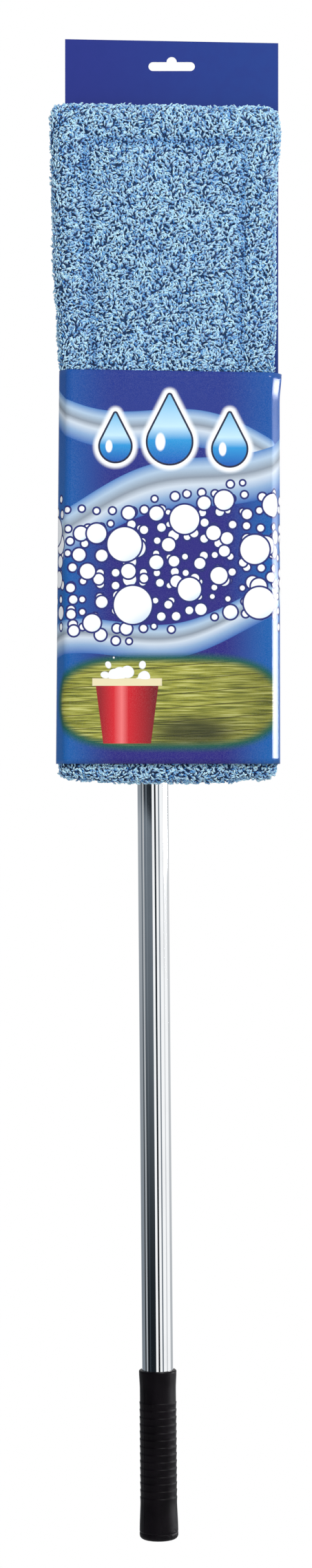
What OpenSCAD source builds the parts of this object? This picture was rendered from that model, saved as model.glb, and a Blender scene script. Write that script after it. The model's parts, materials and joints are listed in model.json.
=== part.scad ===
// Flat mop with a pocket pad, a folding frame and a telescopic handle, in its hanging carton.
// Millimetres. X to the right, Y towards the back, Z up. The origin is the centre of the hang slot.

/* [Carton] */
// Width of the header card
card_w = 147; // [130:1:150]
// Thickness of the doubled header card
card_t = 1; // [0.6:0.1:1]
// Height of the header's top edge above the hang slot
header_rise = 17.5; // [12:0.5:25]
// How much lower the header's top edge is at its right corner than at its left
header_slant = 2.8; // [0:0.1:4]
// Height of the sleeve's top edge
sleeve_top = -212.5; // [-214:0.5:-211]
// Height of the sleeve
sleeve_h = 269; // [240:1:272]
// Width of the sleeve across its sides
sleeve_w = 154; // [154:0.5:160]
// Width of the sleeve's front panel between its creases
sleeve_front_w = 142; // [140:0.5:148]
// Thickness of the sleeve's card
sleeve_t = 0.6; // [0.4:0.1:0.6]
// Length of each glued return flap
flap_len = 40; // [30:1:44]
// Width of the hang slot
hang_w = 32; // [30:0.5:34]
// Height of the hang slot's bar
hang_h = 6.2; // [5:0.1:8]
// Width of the hang slot's arch
arch_w = 7; // [6:0.5:10]
// Width of the back card's open slot for the joint
back_slot_w = 60; // [56:1:64]

/* [Pad] */
// Length of the pad
pad_len = 459; // [450:1:465]
// Width of the pad inside the sleeve
pad_w = 146; // [140:0.5:146]
// How much each side spreads at the pad's free upper end
pad_spread = 5.5; // [0:0.5:6]
// How much each side spreads below the sleeve
tail_spread = 3.5; // [0:0.5:4]
// Radius of the pad's corners
pad_corner = 9; // [6:0.5:16]
// Thickness of the pad at its border roll
pad_t = 12; // [10:0.5:12]
// Rise of the crown over the border roll
pad_crown = 0.8; // [0:0.1:0.8]
// Distance of the sewn channel from the pad's edge
channel_inset = 23; // [20:1:26]
// Depth of the sewn channel
channel_depth = 3; // [1:0.5:4]
// Thickness of the backing cloth
backing_t = 0.9; // [0.5:0.1:0.9]
// Length of each pocket
pocket_len = 88; // [70:1:92]
// Width of each pocket
pocket_w = 124; // [118:1:130]
// Thickness of the pocket cloth
cloth_t = 1; // [0.6:0.1:1]

/* [Frame] */
// Length of the plate with its wing
frame_len = 400; // [380:1:405]
// Width of the plate
frame_w = 106; // [104:1:108]
// Depth of the plate's rim
frame_t = 6; // [6:0.1:6.2]
// Thickness of the plate's skin
skin_t = 2; // [1.6:0.1:2]
// Thickness of the rim and ribs
rib_t = 2.4; // [1.6:0.1:3]
// Height of the fold line above the joint's centre
hinge_rise = 72; // [70:0.5:76]

/* [Pedal] */
// Width of the pedal
pedal_w = 40; // [36:0.5:40]
// Length of the pedal
pedal_len = 56; // [52:0.5:56]
// Thickness of the pedal
pedal_t = 3; // [2.5:0.1:3]

/* [Joint] */
// Distance between the joint's two axes
arm_len = 24; // [24:0.5:28]
// Sideways lean of the joint's arm as it hangs
arm_lean = 27; // [0:0.5:40]
// Height of the roll axis over the back card's middle
roll_y = 11.5; // [11:0.5:14]
// Radius of the roll pin
roll_pin_r = 3; // [2.5:0.1:3.5]
// Radius of the fold pin
fold_pin_r = 2.5; // [2:0.1:3]

/* [Handle] */
// Outer diameter of the outer tube
outer_d = 22; // [22:0.5:24]
// Wall of the outer tube
outer_wall = 0.6; // [0.5:0.1:0.6]
// Outer diameter of the inner tube
inner_d = 19; // [18:0.5:19]
// Wall of the inner tube
inner_wall = 0.8; // [0.6:0.1:1]
// Distance from the joint's centre to the grip's end
handle_reach = 761; // [750:1:800]
// Sideways tilt of the handle in its socket as it hangs
handle_tilt = 0.47; // [0:0.01:0.6]
// Length of the grip
grip_len = 118; // [110:1:130]
// Diameter of the grip's waist
grip_d = 25.6; // [25.4:0.1:27]
// Number of ring ribs on the grip
grip_ribs = 14; // [8:1:16]

/* [Hidden] */
$fn = 64;

// Small distances: overshoot of cuts, gap between cloth and plate, running clearance of pins
over = 1;
gap = 0.3;
run = 0.05;

// The middles of the sleeve and of the mop inside it, both a little to the left of the hang slot
sleeve_x = -2.5;
mop_x = -4;
head_z = -262.5;

// Depth of each layer, from the back card to the front panel
card_front = -card_t / 2;
card_back = card_t / 2;
flap_front = card_front - sleeve_t;
cloth_back = flap_front - 0.4;
plate_back = cloth_back - cloth_t - gap;
plate_front = plate_back - frame_t;
backing_back = plate_front - gap;
pad_back = backing_back - backing_t;
panel_back = -23.6;

// The carton's heights
sleeve_bottom = sleeve_top - sleeve_h;
arch_rise = arch_w / 2;
slot_crest = head_z + 112;
bevel_depth = 10;

// The plate and its fold line
half_frame = frame_len / 2;
plate_corner = 8;
hinge_y = plate_back - frame_t / 2;
hinge_r = frame_t / 2;
hinge_pin_r = 1.5;
hinge_space = hinge_r + 1.2;
finger_x = 37;
finger_w = 16;
finger_end = hinge_rise + 20;
finger_gap = 0.3;
finger_floor = plate_back - skin_t - finger_gap;
hinge_inner_x = 22;
hinge_outer_x = frame_w / 2 - 0.5;
magnet_z = hinge_rise + 12;
magnet_r = 4;
magnet_t = 1.4;
keeper_r = 4.5;
keeper_t = 1.2;
rib_step = 33;

// The pedal, its window and its pin
window_w = pedal_w + 1.2;
window_low = 35.5;
pedal_low = 37;
pedal_top = pedal_low + pedal_len;
window_high = pedal_top + 3;
pedal_under = plate_back + 0.4;
pedal_pin_z = 42;
pedal_pin_y = plate_back - 2.6;
pedal_pin_r = 1.25;
pedal_floor = plate_front + 1.6;
striker_seat = 1;
spring_bar_z = 52;
spring_bar_len = 6;

// The joint's saddle
bracket_w = 38;
bracket_len = 58;
bracket_t = 3;
ear_in = 15;
ear_t = 6;
ear_r = 9;
screw_x = 12;
screw_z = 24.5;
screw_r = 1.5;
screw_head_r = 3.4;
screw_len = 8;

// The knuckle's two barrels
roll_barrel_r = 8.5;
fold_barrel_r = 9;
fold_barrel_w = 12;

// The socket, along the handle below the joint's centre
prong_t = 5;
neck_top = 13;
neck_r = 11.2;
socket_start = 34;
socket_r = 13.2;
socket_lip = 88;
socket_end = 95;
socket_lip_r = 14.4;
socket_bore_top = 44;
socket_screw_z = 62;

// The telescope, along the handle below the joint's centre
inner_r = inner_d / 2;
inner_end = 638;
outer_r = outer_d / 2;
outer_bore_r = outer_r - outer_wall;
outer_start = 99;
outer_end = handle_reach - 7;
bush_len = 30;
stud_r = 4;
collet_start = inner_end + 5;
collet_len = 28;
grip_start = handle_reach - grip_len;
grip_r = grip_d / 2;
rib_start = 22;
rib_pitch = 5.1;

// Where pieces stand
module at_head() {
    translate([mop_x, 0, head_z]) children();
}

module at_arm() {
    at_head() translate([0, roll_y, 0]) rotate([0, 0, arm_lean]) children();
}

module at_fork() {
    at_arm() translate([0, arm_len, 0]) children();
}

// Along the handle, which drifts to the right as it goes down
module at_handle() {
    at_fork() rotate([0, 0, -arm_lean]) rotate([0, -handle_tilt, 0]) rotate([0, 0, arm_lean]) children();
}

// A flat shape in X and Z, given depth from y_low to y_high
module deep(y_low, y_high) {
    translate([0, y_high, 0]) rotate([90, 0, 0]) linear_extrude(y_high - y_low) children();
}

// A flat shape in Y and Z, given width from x_low to x_high
module wide(x_low, x_high) {
    translate([x_low, 0, 0]) rotate([90, 0, 90]) linear_extrude(x_high - x_low) children();
}

// A cylinder along X
module along_x(x_low, x_high, r) {
    translate([x_low, 0, 0]) rotate([0, 90, 0]) cylinder(h = x_high - x_low, r = r);
}

// A cylinder along Y
module along_y(y_low, y_high, r) {
    translate([0, y_low, 0]) rotate([-90, 0, 0]) cylinder(h = y_high - y_low, r = r);
}

// A flat rectangle from low to high with rounded corners
module rounded(low, high, r) {
    translate([low[0] + r, low[1]]) square([high[0] - low[0] - 2 * r, high[1] - low[1]]);
    translate([low[0], low[1] + r]) square([high[0] - low[0], high[1] - low[1] - 2 * r]);
    for (x = [low[0] + r, high[0] - r], z = [low[1] + r, high[1] - r])
        translate([x, z]) circle(r);
}

// Carton

module hang_slot() {
    square([hang_w - hang_h, hang_h], center = true);
    for (side = [-1, 1]) translate([side * (hang_w - hang_h) / 2, 0]) circle(hang_h / 2);
    translate([0, hang_h / 2]) circle(arch_rise);
    translate([-arch_w / 2, 0]) square([arch_w, hang_h / 2]);
}

module header_card() {
    half = card_w / 2;
    color("#1e2f8f") deep(card_front, card_back) difference() {
        polygon([[-half, sleeve_bottom], [half, sleeve_bottom], [half, header_rise - header_slant / 2],
            [-half, header_rise + header_slant / 2]]);
        hang_slot();
        translate([0, slot_crest - back_slot_w / 2]) circle(back_slot_w / 2);
        translate([-back_slot_w / 2, sleeve_bottom - over])
            square([back_slot_w, slot_crest - back_slot_w / 2 - sleeve_bottom + over]);
    }
}

// The wrap's section as a line from flap to flap, drawn in by the card's thickness for its inside
function wrap_line(inset) =
    let (
        side = sleeve_w / 2 - inset,
        crease = sleeve_front_w / 2 - inset / 4,
        panel = panel_back - sleeve_t + inset,
        bevel = panel_back - sleeve_t + bevel_depth + inset / 4,
        flap_end = sleeve_w / 2 - flap_len,
        flap = card_front - inset)
    [[-flap_end, flap], [-side, flap], [-side, bevel], [-crease, panel],
        [crease, panel], [side, bevel], [side, flap], [flap_end, flap]];

module carton_sleeve() {
    outside = wrap_line(0);
    inside = wrap_line(sleeve_t);
    section = concat(outside, [for (i = [len(inside) - 1 : -1 : 0]) inside[i]]);
    color("#2a3fb0") translate([sleeve_x, 0, sleeve_bottom]) linear_extrude(sleeve_h) polygon(section);
}

// Frame

module plate_outline() {
    rounded([-frame_w / 2, -half_frame], [frame_w / 2, half_frame], plate_corner);
}

module plate_inside() {
    rounded([-frame_w / 2 + rib_t, -half_frame + rib_t], [frame_w / 2 - rib_t, half_frame - rib_t],
        plate_corner - rib_t);
}

// Ribs under the skin, along and across the plate
module rib_grid() {
    for (x = [-1, 0, 1] * rib_step) translate([x - rib_t / 2, -half_frame]) square([rib_t, frame_len]);
    for (z = [-half_frame + rib_step : rib_step : half_frame - rib_step])
        translate([-frame_w / 2, z - rib_t / 2]) square([frame_w, rib_t]);
}

// A length of ribbed plate between two heights
module ribbed_plate(low, high) {
    intersection() {
        union() {
            deep(plate_back - skin_t, plate_back) plate_outline();
            deep(plate_front, plate_back) difference() {
                plate_outline();
                plate_inside();
            }
            deep(plate_front + over, plate_back) intersection() {
                plate_outline();
                rib_grid();
            }
        }
        deep(plate_front - over, plate_back + over)
            translate([-frame_w, low]) square([2 * frame_w, high - low]);
    }
}

module hinge_knuckle(x_low, x_high, side) {
    translate([0, hinge_y, hinge_rise]) {
        along_x(x_low, x_high, hinge_r);
        translate([x_low, -hinge_r, side < 0 ? -hinge_space - over : 0])
            cube([x_high - x_low, 2 * hinge_r, hinge_space + over]);
    }
}

module hinge_bores(r) {
    for (side = [-1, 1]) mirror([side < 0 ? 1 : 0, 0, 0])
        translate([0, hinge_y, hinge_rise]) along_x(hinge_inner_x - over, hinge_outer_x + over, r);
}

module frame_plate() {
    wall = rib_t + 1;
    color("#c81e24") at_head() difference() {
        union() {
            ribbed_plate(-half_frame, hinge_rise - hinge_space);
            for (side = [-1, 1]) mirror([side < 0 ? 1 : 0, 0, 0]) {
                hinge_knuckle(finger_x - finger_w / 2, finger_x + finger_w / 2, -1);
                deep(plate_back - skin_t, plate_back)
                    translate([finger_x - finger_w / 2, hinge_rise - hinge_space])
                        square([finger_w, finger_end - hinge_rise + hinge_space]);
                deep(plate_front, plate_back) translate([window_w / 2, window_low - wall])
                    square([wall, hinge_rise - hinge_space - window_low + wall]);
                for (z = [-screw_z, screw_z]) translate([screw_x, 0, z])
                    along_y(plate_front, plate_back, 2 * screw_r + rib_t / 2);
            }
            deep(plate_front, plate_back) translate([-window_w / 2, window_low - wall])
                square([window_w, wall]);
        }
        deep(plate_front - over, plate_back + over) translate([-window_w / 2, window_low])
            square([window_w, hinge_rise]);
        hinge_bores(hinge_pin_r);
        for (side = [-1, 1]) translate([side * finger_x, 0, magnet_z])
            along_y(plate_back - skin_t - over, plate_back - skin_t + magnet_t, magnet_r);
        for (x = [-screw_x, screw_x], z = [-screw_z, screw_z]) translate([x, 0, z])
            along_y(plate_back + bracket_t - screw_len, plate_back + over, screw_r);
        translate([0, pedal_pin_y, pedal_pin_z])
            along_x(-window_w / 2 - wall - over, window_w / 2 + wall + over, pedal_pin_r);
    }
    color("#c81e24") at_head() deep(plate_front, plate_front + rib_t / 2)
        translate([-window_w / 2, spring_bar_z]) square([window_w, spring_bar_len]);
}

module folding_wing() {
    low = hinge_rise + hinge_space;
    tray_w = finger_w + 2 * finger_gap;
    color("#c81e24") at_head() difference() {
        union() {
            difference() {
                ribbed_plate(low, half_frame);
                for (side = [-1, 1]) deep(finger_floor, plate_back + over)
                    translate([side * finger_x - tray_w / 2, low - over])
                        square([tray_w, finger_end + 2 * finger_gap - low + over]);
                deep(plate_front - over, plate_back + over) translate([-window_w / 2, low - over])
                    square([window_w, window_high - low + over]);
            }
            for (side = [-1, 1]) deep(finger_floor - skin_t, finger_floor)
                translate([side * finger_x - tray_w / 2 - rib_t / 2, low])
                    square([tray_w + rib_t, finger_end + rib_t - low]);
            deep(plate_front, plate_back) translate([-window_w / 2 - rib_t, window_high])
                square([window_w + 2 * rib_t, rib_t]);
            for (side = [-1, 1]) mirror([side < 0 ? 1 : 0, 0, 0]) {
                deep(plate_front, plate_back) translate([window_w / 2, low])
                    square([rib_t, window_high + rib_t - low]);
                hinge_knuckle(hinge_inner_x, finger_x - finger_w / 2 - gap, 1);
                hinge_knuckle(finger_x + finger_w / 2 + gap, hinge_outer_x, 1);
            }
        }
        hinge_bores(hinge_pin_r + run);
        for (side = [-1, 1]) translate([side * finger_x, 0, magnet_z])
            along_y(finger_floor - keeper_t, finger_floor + over, keeper_r);
        deep(plate_front - over, pedal_floor) striker_outline(over);
    }
}

// The striker's outline, let into the walls of the wing's notch and drawn out below by more
module striker_outline(more) {
    low = hinge_rise + hinge_space - more;
    half = window_w / 2 + striker_seat;
    translate([-half, low]) square([2 * half, window_high + striker_seat - low]);
}

// The floor of the wing's notch, which the pedal pushes
module striker_plate() {
    color("#9aa0a6") at_head() deep(plate_front, pedal_floor) striker_outline(0);
}

module hinge_pins() {
    color("silver") at_head() for (side = [-1, 1]) mirror([side < 0 ? 1 : 0, 0, 0])
        translate([0, hinge_y, hinge_rise]) along_x(hinge_inner_x, hinge_outer_x, hinge_pin_r);
}

module latch_magnets() {
    color("#8a8d92") at_head() for (side = [-1, 1]) translate([side * finger_x, 0, magnet_z])
        along_y(plate_back - skin_t, plate_back - skin_t + magnet_t, magnet_r);
}

module keeper_discs() {
    color("silver") at_head() for (side = [-1, 1]) translate([side * finger_x, 0, magnet_z])
        along_y(finger_floor - keeper_t, finger_floor, keeper_r);
}

// Pedal

module release_pedal() {
    lug_x = 11;
    lug_t = 5;
    lug_r = 2.6;
    tread_count = 5;
    tread_w = 3;
    tread_rise = 0.8;
    color("#16171a") at_head() difference() {
        union() {
            deep(pedal_under, pedal_under + pedal_t)
                rounded([-pedal_w / 2, pedal_low], [pedal_w / 2, pedal_top], 4);
            for (i = [0 : tread_count - 1])
                deep(pedal_under, pedal_under + pedal_t + tread_rise)
                    translate([-pedal_w / 2 + 5, pedal_top - 10 - 2 * i * tread_w])
                        square([pedal_w - 10, tread_w]);
            for (side = [-1, 1]) translate([side * lug_x - lug_t / 2, 0, 0]) {
                translate([0, pedal_pin_y, pedal_pin_z]) along_x(0, lug_t, lug_r);
                translate([0, pedal_pin_y, pedal_pin_z - lug_r])
                    cube([lug_t, pedal_under - pedal_pin_y + over, 2 * lug_r]);
            }
        }
        translate([0, pedal_pin_y, pedal_pin_z]) along_x(-pedal_w, pedal_w, pedal_pin_r + run);
    }
}

module pedal_pin() {
    color("silver") at_head() translate([0, pedal_pin_y, pedal_pin_z])
        along_x(-window_w / 2 - rib_t, window_w / 2 + rib_t, pedal_pin_r);
}

module pedal_spring() {
    leaf_t = 0.4;
    leaf_w = 10;
    foot_y = plate_front + rib_t / 2;
    tip_y = pedal_under - gap;
    knee = spring_bar_z + spring_bar_len;
    tip = knee + 9;
    color("#9aa0a6") at_head() wide(-leaf_w / 2, leaf_w / 2) polygon([
        [foot_y, spring_bar_z], [foot_y + leaf_t, spring_bar_z], [foot_y + leaf_t, knee],
        [tip_y, tip - leaf_t], [tip_y, tip], [tip_y - leaf_t, tip], [foot_y, knee + leaf_t]]);
}

// Pad

// Share of the way from low to high, eased at both ends
function ease(low, high, v) = let (t = min(1, max(0, (v - low) / (high - low)))) t * t * (3 - 2 * t);

// Half width of the pad at a height over the joint's centre: both free ends spread
function pad_half(z) =
    let (
        upper = min(1, max(0, (z - 55) / (pad_len / 2 - 85))),
        tail = 1 - ease(-pad_len / 2 + 3, -pad_len / 2 + 10, z))
    pad_w / 2 + pad_spread * upper * upper + tail_spread * tail;

// Height of the pad's face at a distance from its edge: the border roll, the channel and the crown
function pad_rise(d) =
    let (
        roll_r = 9,
        edge_t = 3,
        roll = edge_t + (pad_t - edge_t) * sqrt(1 - pow(1 - min(d, roll_r) / roll_r, 2)),
        dip = channel_depth * (1 - ease(0, 6, abs(d - channel_inset))))
    roll - dip + pad_crown * ease(channel_inset, channel_inset + 25, d);

// Round the square corners of the pad's grid
function round_corner(p, half) =
    let (
        low = [half[0] - pad_corner, half[1] - pad_corner],
        q = [max(0, abs(p[0]) - low[0]), max(0, abs(p[1]) - low[1])],
        n = norm(q),
        k = n > 0 ? max(q) / n : 1)
    [sign(p[0]) * (min(abs(p[0]), low[0]) + q[0] * k), sign(p[1]) * (min(abs(p[1]), low[1]) + q[1] * k)];

pad_insets = [0, 0.6, 2.5, 5, 9, 17, 20, 23, 26, 29];
pad_rows = [for (d = pad_insets) -pad_len / 2 + d,
    for (i = [1 : 7]) -pad_len / 2 + 29 + i * (pad_len - 58) / 8,
    for (i = [len(pad_insets) - 1 : -1 : 0]) pad_len / 2 - pad_insets[i]];
pad_columns = [for (d = pad_insets) d - 1000, 0, for (i = [len(pad_insets) - 1 : -1 : 0]) 1000 - pad_insets[i]];

// One point of the pad's grid, on its face or on its flat back
function pad_point(column, z, face) =
    let (
        half = [pad_half(z), pad_len / 2],
        x = column == 0 ? 0 : column < 0 ? column + 1000 - half[0] : column - 1000 + half[0],
        d = min(half[0] - abs(x), half[1] - abs(z)),
        p = round_corner([x, z], half))
    [p[0], face ? pad_back - pad_rise(d) : pad_back, p[1]];

module mop_pad() {
    nx = len(pad_columns);
    nz = len(pad_rows);
    count = nx * nz;
    points = [for (face = [true, false], z = pad_rows, c = pad_columns) pad_point(c, z, face)];
    rim = [for (i = [0 : nx - 2]) i, for (j = [0 : nz - 2]) j * nx + nx - 1,
        for (i = [nx - 1 : -1 : 1]) (nz - 1) * nx + i, for (j = [nz - 1 : -1 : 1]) j * nx];
    cells = [for (j = [0 : nz - 2], i = [0 : nx - 2]) j * nx + i];
    faces = [
        for (c = cells) each [[c, c + nx, c + nx + 1], [c, c + nx + 1, c + 1]],
        for (c = cells) each [[count + c, count + c + nx + 1, count + c + nx],
            [count + c, count + c + 1, count + c + nx + 1]],
        for (k = [0 : len(rim) - 1]) let (a = rim[k], b = rim[(k + 1) % len(rim)])
            each [[a, b, count + b], [a, count + b, count + a]]];
    color("#6f9fd8") at_head() polyhedron(points, faces);
}

module pad_backing() {
    hem = 3;
    color("#5f8fca") at_head() deep(pad_back, backing_back)
        rounded([-pad_w / 2 + hem, -pad_len / 2 + hem], [pad_w / 2 - hem, pad_len / 2 - hem], 14);
}

// A cloth pocket round the plate's upper end, open below and against the backing
module pocket() {
    top = half_frame + 13;
    corner = 12;
    color("#efe6c8") difference() {
        deep(backing_back, cloth_back)
            rounded([-pocket_w / 2, top - pocket_len - corner], [pocket_w / 2, top], corner);
        deep(backing_back - over, cloth_back - cloth_t)
            rounded([-pocket_w / 2 + cloth_t, top - 2 * pocket_len], [pocket_w / 2 - cloth_t, top - cloth_t],
                corner - cloth_t);
        deep(backing_back - over, cloth_back + over)
            translate([-pocket_w, top - 2 * pocket_len]) square([2 * pocket_w, pocket_len]);
    }
}

module upper_pocket() {
    at_head() pocket();
}

module lower_pocket() {
    at_head() mirror([0, 0, 1]) pocket();
}

// Joint

// One ear of the saddle, standing on the base and rounded about the roll axis
module ear_outline() {
    foot = 13;
    sunk = plate_back + bracket_t - over - roll_y;
    difference() {
        union() {
            circle(ear_r);
            translate([-ear_r, sunk]) square([2 * ear_r, -sunk]);
            polygon([[-foot, sunk], [foot, sunk], [ear_r - over, -ear_r / 3], [-ear_r + over, -ear_r / 3]]);
        }
        circle(roll_pin_r);
    }
}

module joint_bracket() {
    base = plate_back + bracket_t;
    ear_out = ear_in + ear_t;
    color("#1b1c1f") at_head() difference() {
        union() {
            deep(plate_back, base)
                rounded([-bracket_w / 2, -bracket_len / 2], [bracket_w / 2, bracket_len / 2], 6);
            for (side = [-1, 1]) translate([0, roll_y, side * (ear_in + ear_t / 2) - ear_t / 2])
                linear_extrude(ear_t) ear_outline();
            for (side = [-1, 1]) mirror([0, 0, side < 0 ? 1 : 0]) wide(-rib_t / 2, rib_t / 2)
                polygon([[base - over, ear_out - over], [roll_y - roll_pin_r - 2, ear_out - over],
                    [base - over, bracket_len / 2 - 1.5]]);
        }
        for (x = [-screw_x, screw_x], z = [-screw_z, screw_z]) translate([x, 0, z]) {
            along_y(plate_back - over, base + over, screw_r + run);
            countersink(base, over / 2);
        }
    }
}

// A screw head's cone under the surface at a height, grown past it by more
module countersink(surface, more) {
    translate([0, surface + more, 0]) rotate([90, 0, 0])
        cylinder(h = screw_head_r - screw_r + more, r1 = screw_head_r + more, r2 = screw_r);
}

module bracket_screws() {
    base = plate_back + bracket_t;
    recess = 0.8;
    color("#b9bcc0") at_head() for (x = [-screw_x, screw_x], z = [-screw_z, screw_z]) translate([x, 0, z])
        difference() {
            union() {
                along_y(base - screw_len, base - over, screw_r);
                countersink(base, 0);
            }
            for (turn = [0, 90]) translate([0, base, 0]) rotate([0, turn, 0])
                cube([3.4, 2 * recess, recess], center = true);
        }
}

module roll_pin() {
    tip = ear_in + ear_t;
    head_t = 1.6;
    color("silver") at_head() translate([0, roll_y, -tip]) {
        cylinder(h = 2 * tip, r = roll_pin_r);
        for (z = [-head_t, 2 * tip]) translate([0, 0, z]) cylinder(h = head_t, r = roll_pin_r + 1.4);
    }
}

// Drawn with the arm along Y and the fold axis along X
module knuckle() {
    half_roll = ear_in - gap;
    root = half_roll - 2;
    color("#202226") at_arm() difference() {
        union() {
            translate([0, 0, -half_roll]) cylinder(h = 2 * half_roll, r = roll_barrel_r);
            wide(-fold_barrel_w / 2, fold_barrel_w / 2) polygon([[0, -root], [0, root],
                [roll_barrel_r, root], [arm_len, fold_barrel_r], [arm_len, -fold_barrel_r], [roll_barrel_r, -root]]);
            translate([0, arm_len, 0]) along_x(-fold_barrel_w / 2, fold_barrel_w / 2, fold_barrel_r);
        }
        translate([0, 0, -half_roll - over]) cylinder(h = 2 * half_roll + 2 * over, r = roll_pin_r + run);
        translate([0, arm_len, 0]) along_x(-fold_barrel_w, fold_barrel_w, fold_pin_r + run);
    }
}

module fold_pin() {
    tip = fold_barrel_w / 2 + gap + prong_t;
    head_t = 1.6;
    color("silver") at_fork() {
        along_x(-tip, tip, fold_pin_r);
        for (x = [-tip - head_t, tip]) along_x(x, x + head_t, fold_pin_r + 1.6);
    }
}

// Handle

module handle_socket() {
    rib_count = 8;
    prong_in = fold_barrel_w / 2 + gap;
    color("#202226") difference() {
        union() {
            at_fork() for (side = [-1, 1]) wide(side * (prong_in + prong_t / 2) - prong_t / 2,
                side * (prong_in + prong_t / 2) + prong_t / 2) {
                circle(fold_barrel_r);
                translate([-fold_barrel_r, -neck_top - over])
                    square([2 * fold_barrel_r, neck_top + over]);
            }
            at_handle() rotate_extrude() polygon([[0, -neck_top], [neck_r - 1, -neck_top],
                [neck_r, -neck_top - 1], [neck_r, -socket_start + 6], [socket_r, -socket_start],
                [socket_r, -socket_lip], [socket_lip_r, -socket_lip - 1.2], [socket_lip_r, -socket_end + 1],
                [socket_lip_r - 1, -socket_end], [0, -socket_end]]);
            at_handle() for (i = [0 : rib_count - 1]) rotate([0, 0, (i + 0.5) * 360 / rib_count])
                translate([socket_r - 1, -1, -socket_lip]) cube([1.9, 2, socket_lip - socket_start - 4]);
        }
        at_fork() along_x(-2 * socket_r, 2 * socket_r, fold_pin_r);
        at_handle() {
            translate([0, 0, -socket_end - over])
                cylinder(h = socket_end - socket_bore_top + over, r = inner_r + run);
            translate([0, 0, -socket_screw_z]) along_x(inner_r - 2, 2 * socket_r, 1.6);
            translate([0, 0, -socket_screw_z]) along_x(socket_r - 1.4, 2 * socket_r, 3.4);
        }
    }
}

module socket_screw() {
    color("#b9bcc0") at_handle() translate([0, 0, -socket_screw_z]) {
        along_x(inner_r - 3, socket_r - 1.4, 1.6);
        along_x(socket_r - 1.4, socket_r + 0.4, 3.2);
    }
}

// A tube along the handle
module pipe(start, end, r_out, r_in) {
    translate([0, 0, -end]) difference() {
        cylinder(h = end - start, r = r_out);
        translate([0, 0, -over]) cylinder(h = end - start + 2 * over, r = r_in);
    }
}

module inner_tube() {
    color("#c9ccd0") at_handle() difference() {
        pipe(socket_bore_top + 1, inner_end, inner_r, inner_r - inner_wall);
        translate([0, 0, -socket_screw_z]) along_x(0, 2 * inner_r, 1.6);
    }
}

module lock_plug() {
    plug_len = 25;
    head_t = 3;
    tip = collet_start + collet_len + 2;
    color("#e7e7e2") at_handle() {
        translate([0, 0, -inner_end]) cylinder(h = plug_len, r = inner_r - inner_wall);
        translate([0, 0, -inner_end - 3]) cylinder(h = 3, r = inner_r);
        translate([0, 0, -tip]) cylinder(h = tip - inner_end, r = stud_r);
        translate([0, 0, -tip - head_t]) cylinder(h = head_t, r = stud_r + 2);
    }
}

module lock_collet() {
    slits = 4;
    slit_w = 1.6;
    color("#d8d6cc") at_handle() difference() {
        pipe(collet_start, collet_start + collet_len, outer_bore_r - run, stud_r + run);
        for (i = [0 : slits - 1]) rotate([0, 0, i * 360 / slits])
            translate([stud_r + 2, -slit_w / 2, -collet_start - collet_len - over])
                cube([outer_r, slit_w, collet_len - 6 + over]);
    }
}

module outer_tube() {
    color("#d4d7db") at_handle() pipe(outer_start, outer_end, outer_r, outer_bore_r);
}

module guide_bush() {
    flange_t = 3;
    color("#1b1c1f") at_handle() {
        pipe(outer_start - flange_t, outer_start, outer_r + 0.6, inner_r + run);
        pipe(outer_start - 0.01, outer_start + bush_len, outer_bore_r, inner_r + run);
    }
}

// Radius of the grip along its length: a lip at the mouth, a ribbed waist and a flared end
function grip_radius(s) = grip_r + 0.5 * (1 - ease(0, 14, s)) + 0.9 * ease(grip_len - 34, grip_len - 4, s);

function grip_groove(s) = let (t = (s - rib_start) / rib_pitch)
    t < 0 || t > grip_ribs ? 0 : 0.35 * (1 - cos(360 * t));

module grip() {
    steps_per_rib = 6;
    last = rib_start + grip_ribs * rib_pitch;
    ribbed = [for (i = [0 : grip_ribs * steps_per_rib]) rib_start + i * rib_pitch / steps_per_rib];
    stations = concat([1.2, 5, 9, 14, 18], ribbed, [last + 6, last + 12, last + 17, grip_len - 4]);
    outline = concat([[outer_r, -grip_start], [grip_radius(0) - 1, -grip_start]],
        [for (s = stations) [grip_radius(s) - grip_groove(s), -grip_start - s]],
        [[grip_radius(grip_len) - 1, -handle_reach + 1], [grip_radius(grip_len) - 3.5, -handle_reach],
            [0, -handle_reach], [0, -outer_end], [outer_r, -outer_end]]);
    color("#17181a") at_handle() rotate_extrude() polygon(outline);
}

header_card();
carton_sleeve();
frame_plate();
joint_bracket();
bracket_screws();
roll_pin();
hinge_pins();
latch_magnets();
pedal_pin();
pedal_spring();
pad_backing();
mop_pad();
lower_pocket();
folding_wing();
striker_plate();
keeper_discs();
upper_pocket();
release_pedal();
knuckle();
fold_pin();
handle_socket();
socket_screw();
inner_tube();
lock_plug();
lock_collet();
outer_tube();
guide_bush();
grip();
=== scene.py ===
"""Looks of a flat mop hanging in its carton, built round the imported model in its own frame, in metres."""

import json
import math

import bpy
import numpy as np
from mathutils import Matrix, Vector, noise

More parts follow.
